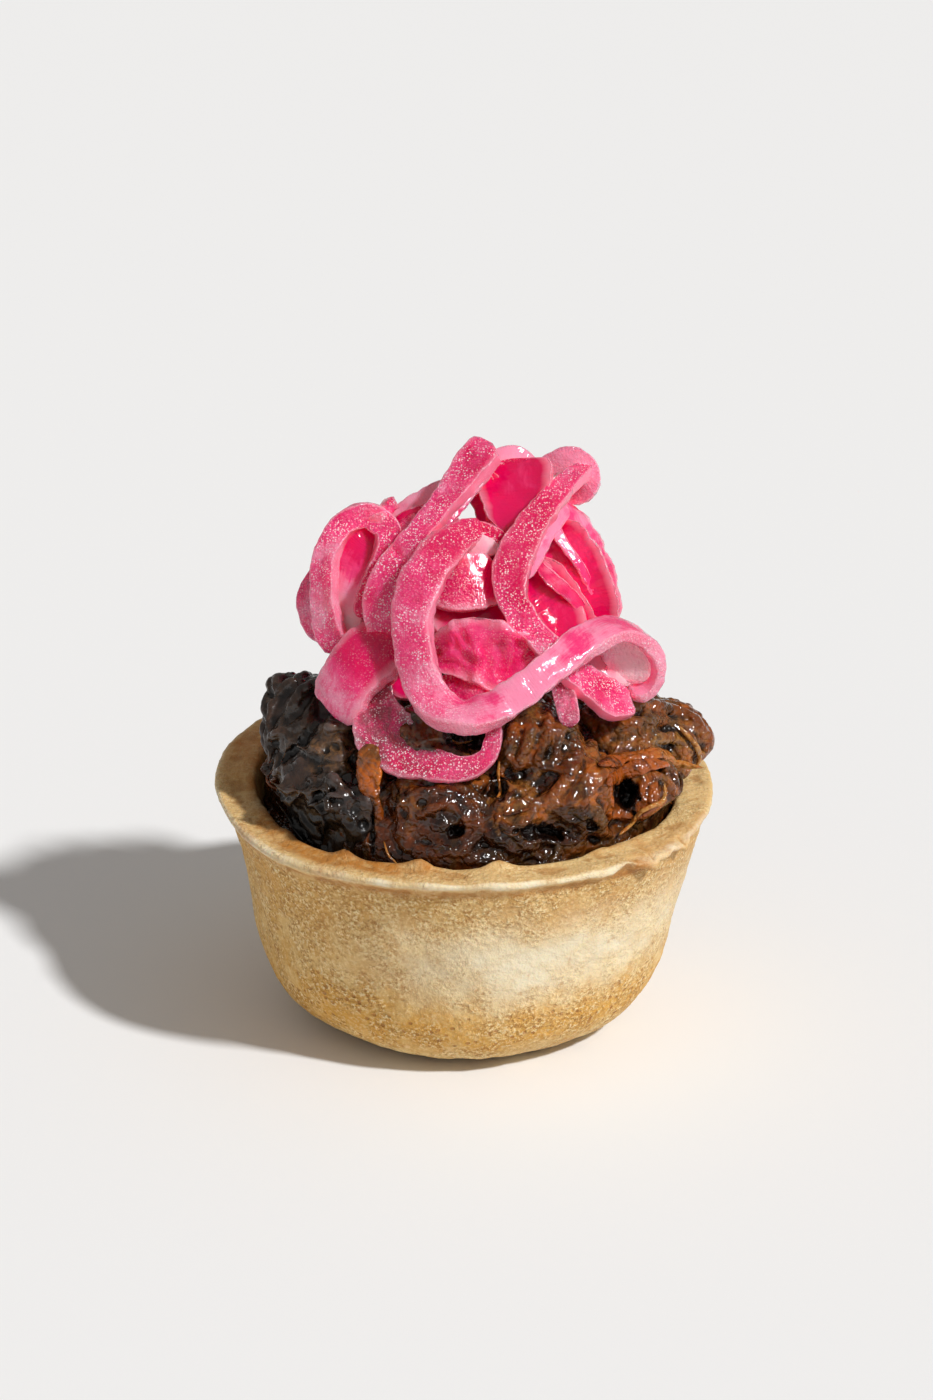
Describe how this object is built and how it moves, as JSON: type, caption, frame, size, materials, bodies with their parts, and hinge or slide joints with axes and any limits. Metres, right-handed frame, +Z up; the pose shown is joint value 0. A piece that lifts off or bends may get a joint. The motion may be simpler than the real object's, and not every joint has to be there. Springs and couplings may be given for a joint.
{
  "type": "savoury tartlet",
  "caption": "Savoury tartlet: a shortcrust pastry shell heaped with dark glazed pulled meat and topped with a tangle of pink pickled onion strips.",
  "frame": {"origin": "centre of the shell's flat base, on the surface the tartlet stands on", "axes": "+Z up along the shell's axis, -Y toward the front side that the picture shows, +X to its right"},
  "size_m": [0.0502, 0.0502, 0.0596],
  "materials": {
    "pastry": "dry baked crumb",
    "meat": "wet glaze",
    "dark_meat": "wet glaze",
    "onion": "wet, slightly see-through"
  },
  "bodies": {
    "root": {"pastry_shell": "pastry", "pulled_meat": "meat", "dark_meat_chunk": "dark_meat", "pickled_onion": "onion"}
  },
  "joints": []
}
